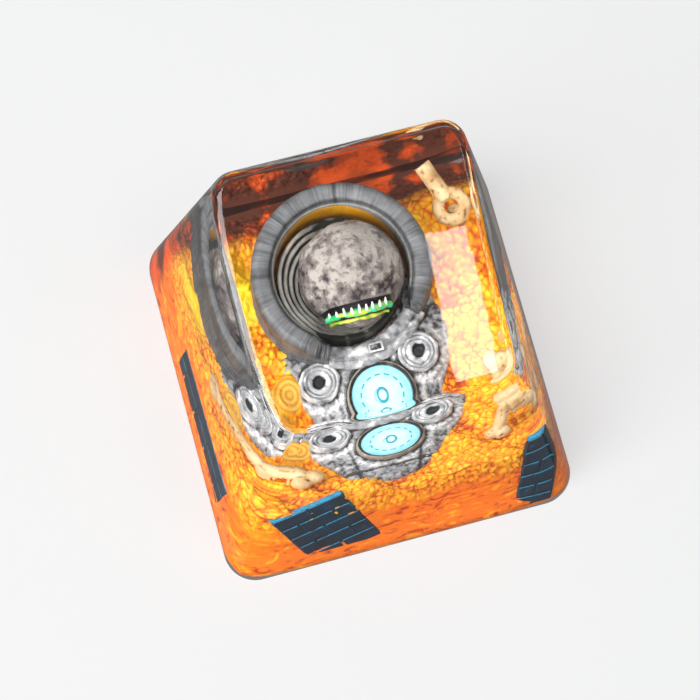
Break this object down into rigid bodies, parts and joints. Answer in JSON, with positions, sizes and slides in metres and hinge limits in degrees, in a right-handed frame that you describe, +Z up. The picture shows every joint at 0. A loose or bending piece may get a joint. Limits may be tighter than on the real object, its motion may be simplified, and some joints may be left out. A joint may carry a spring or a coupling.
{
  "type": "keycap",
  "caption": "Clear cast keycap with a sloped top, a sealed scene of a helmeted skull-like figure on orange rock, and a cross socket stem below.",
  "frame": {"origin": "centre of the skirt's bottom plane", "axes": "+Z up, out of the key top; -Y towards the typist; +X to the right"},
  "size_m": [0.0182, 0.0182, 0.0157],
  "materials": {
    "clear_resin": "clear, polished casting resin",
    "stem_resin": "opaque dark casting resin",
    "rock_paint": "orange and yellow paint over rough resin",
    "helmet_metal": "grey metal-look paint with dark wash",
    "rib_white": "off-white paint with dark wash",
    "head_grey": "stone grey paint with brown wash",
    "teeth_green": "green glaze with white teeth",
    "suit_grey": "white and grey paint with black wash",
    "clasp_metal": "grey paint",
    "disc_blue": "pale blue gloss paint",
    "bezel_tan": "tan paint",
    "port_grey": "grey paint with dark holes",
    "bone": "ivory paint",
    "brick_blue": "dark blue paint, brighter on the edges"
  },
  "bodies": {
    "root": {"resin_block": "clear_resin", "stem_base": "stem_resin", "ground": "rock_paint", "helmet_ring": "helmet_metal", "helmet_bowl": "rib_white", "head": "head_grey", "teeth": "teeth_green", "torso": "suit_grey", "collar": "suit_grey", "collar_clasp": "clasp_metal", "chest_disc": "disc_blue", "chest_bezel": "bezel_tan", "port_left": "port_grey", "port_right": "port_grey", "bone_left": "bone", "bone_right": "bone", "bone_leaning": "bone", "bone_back": "bone", "ruin_front": "brick_blue", "ruin_left": "brick_blue", "ruin_corner": "brick_blue"}
  },
  "joints": []
}
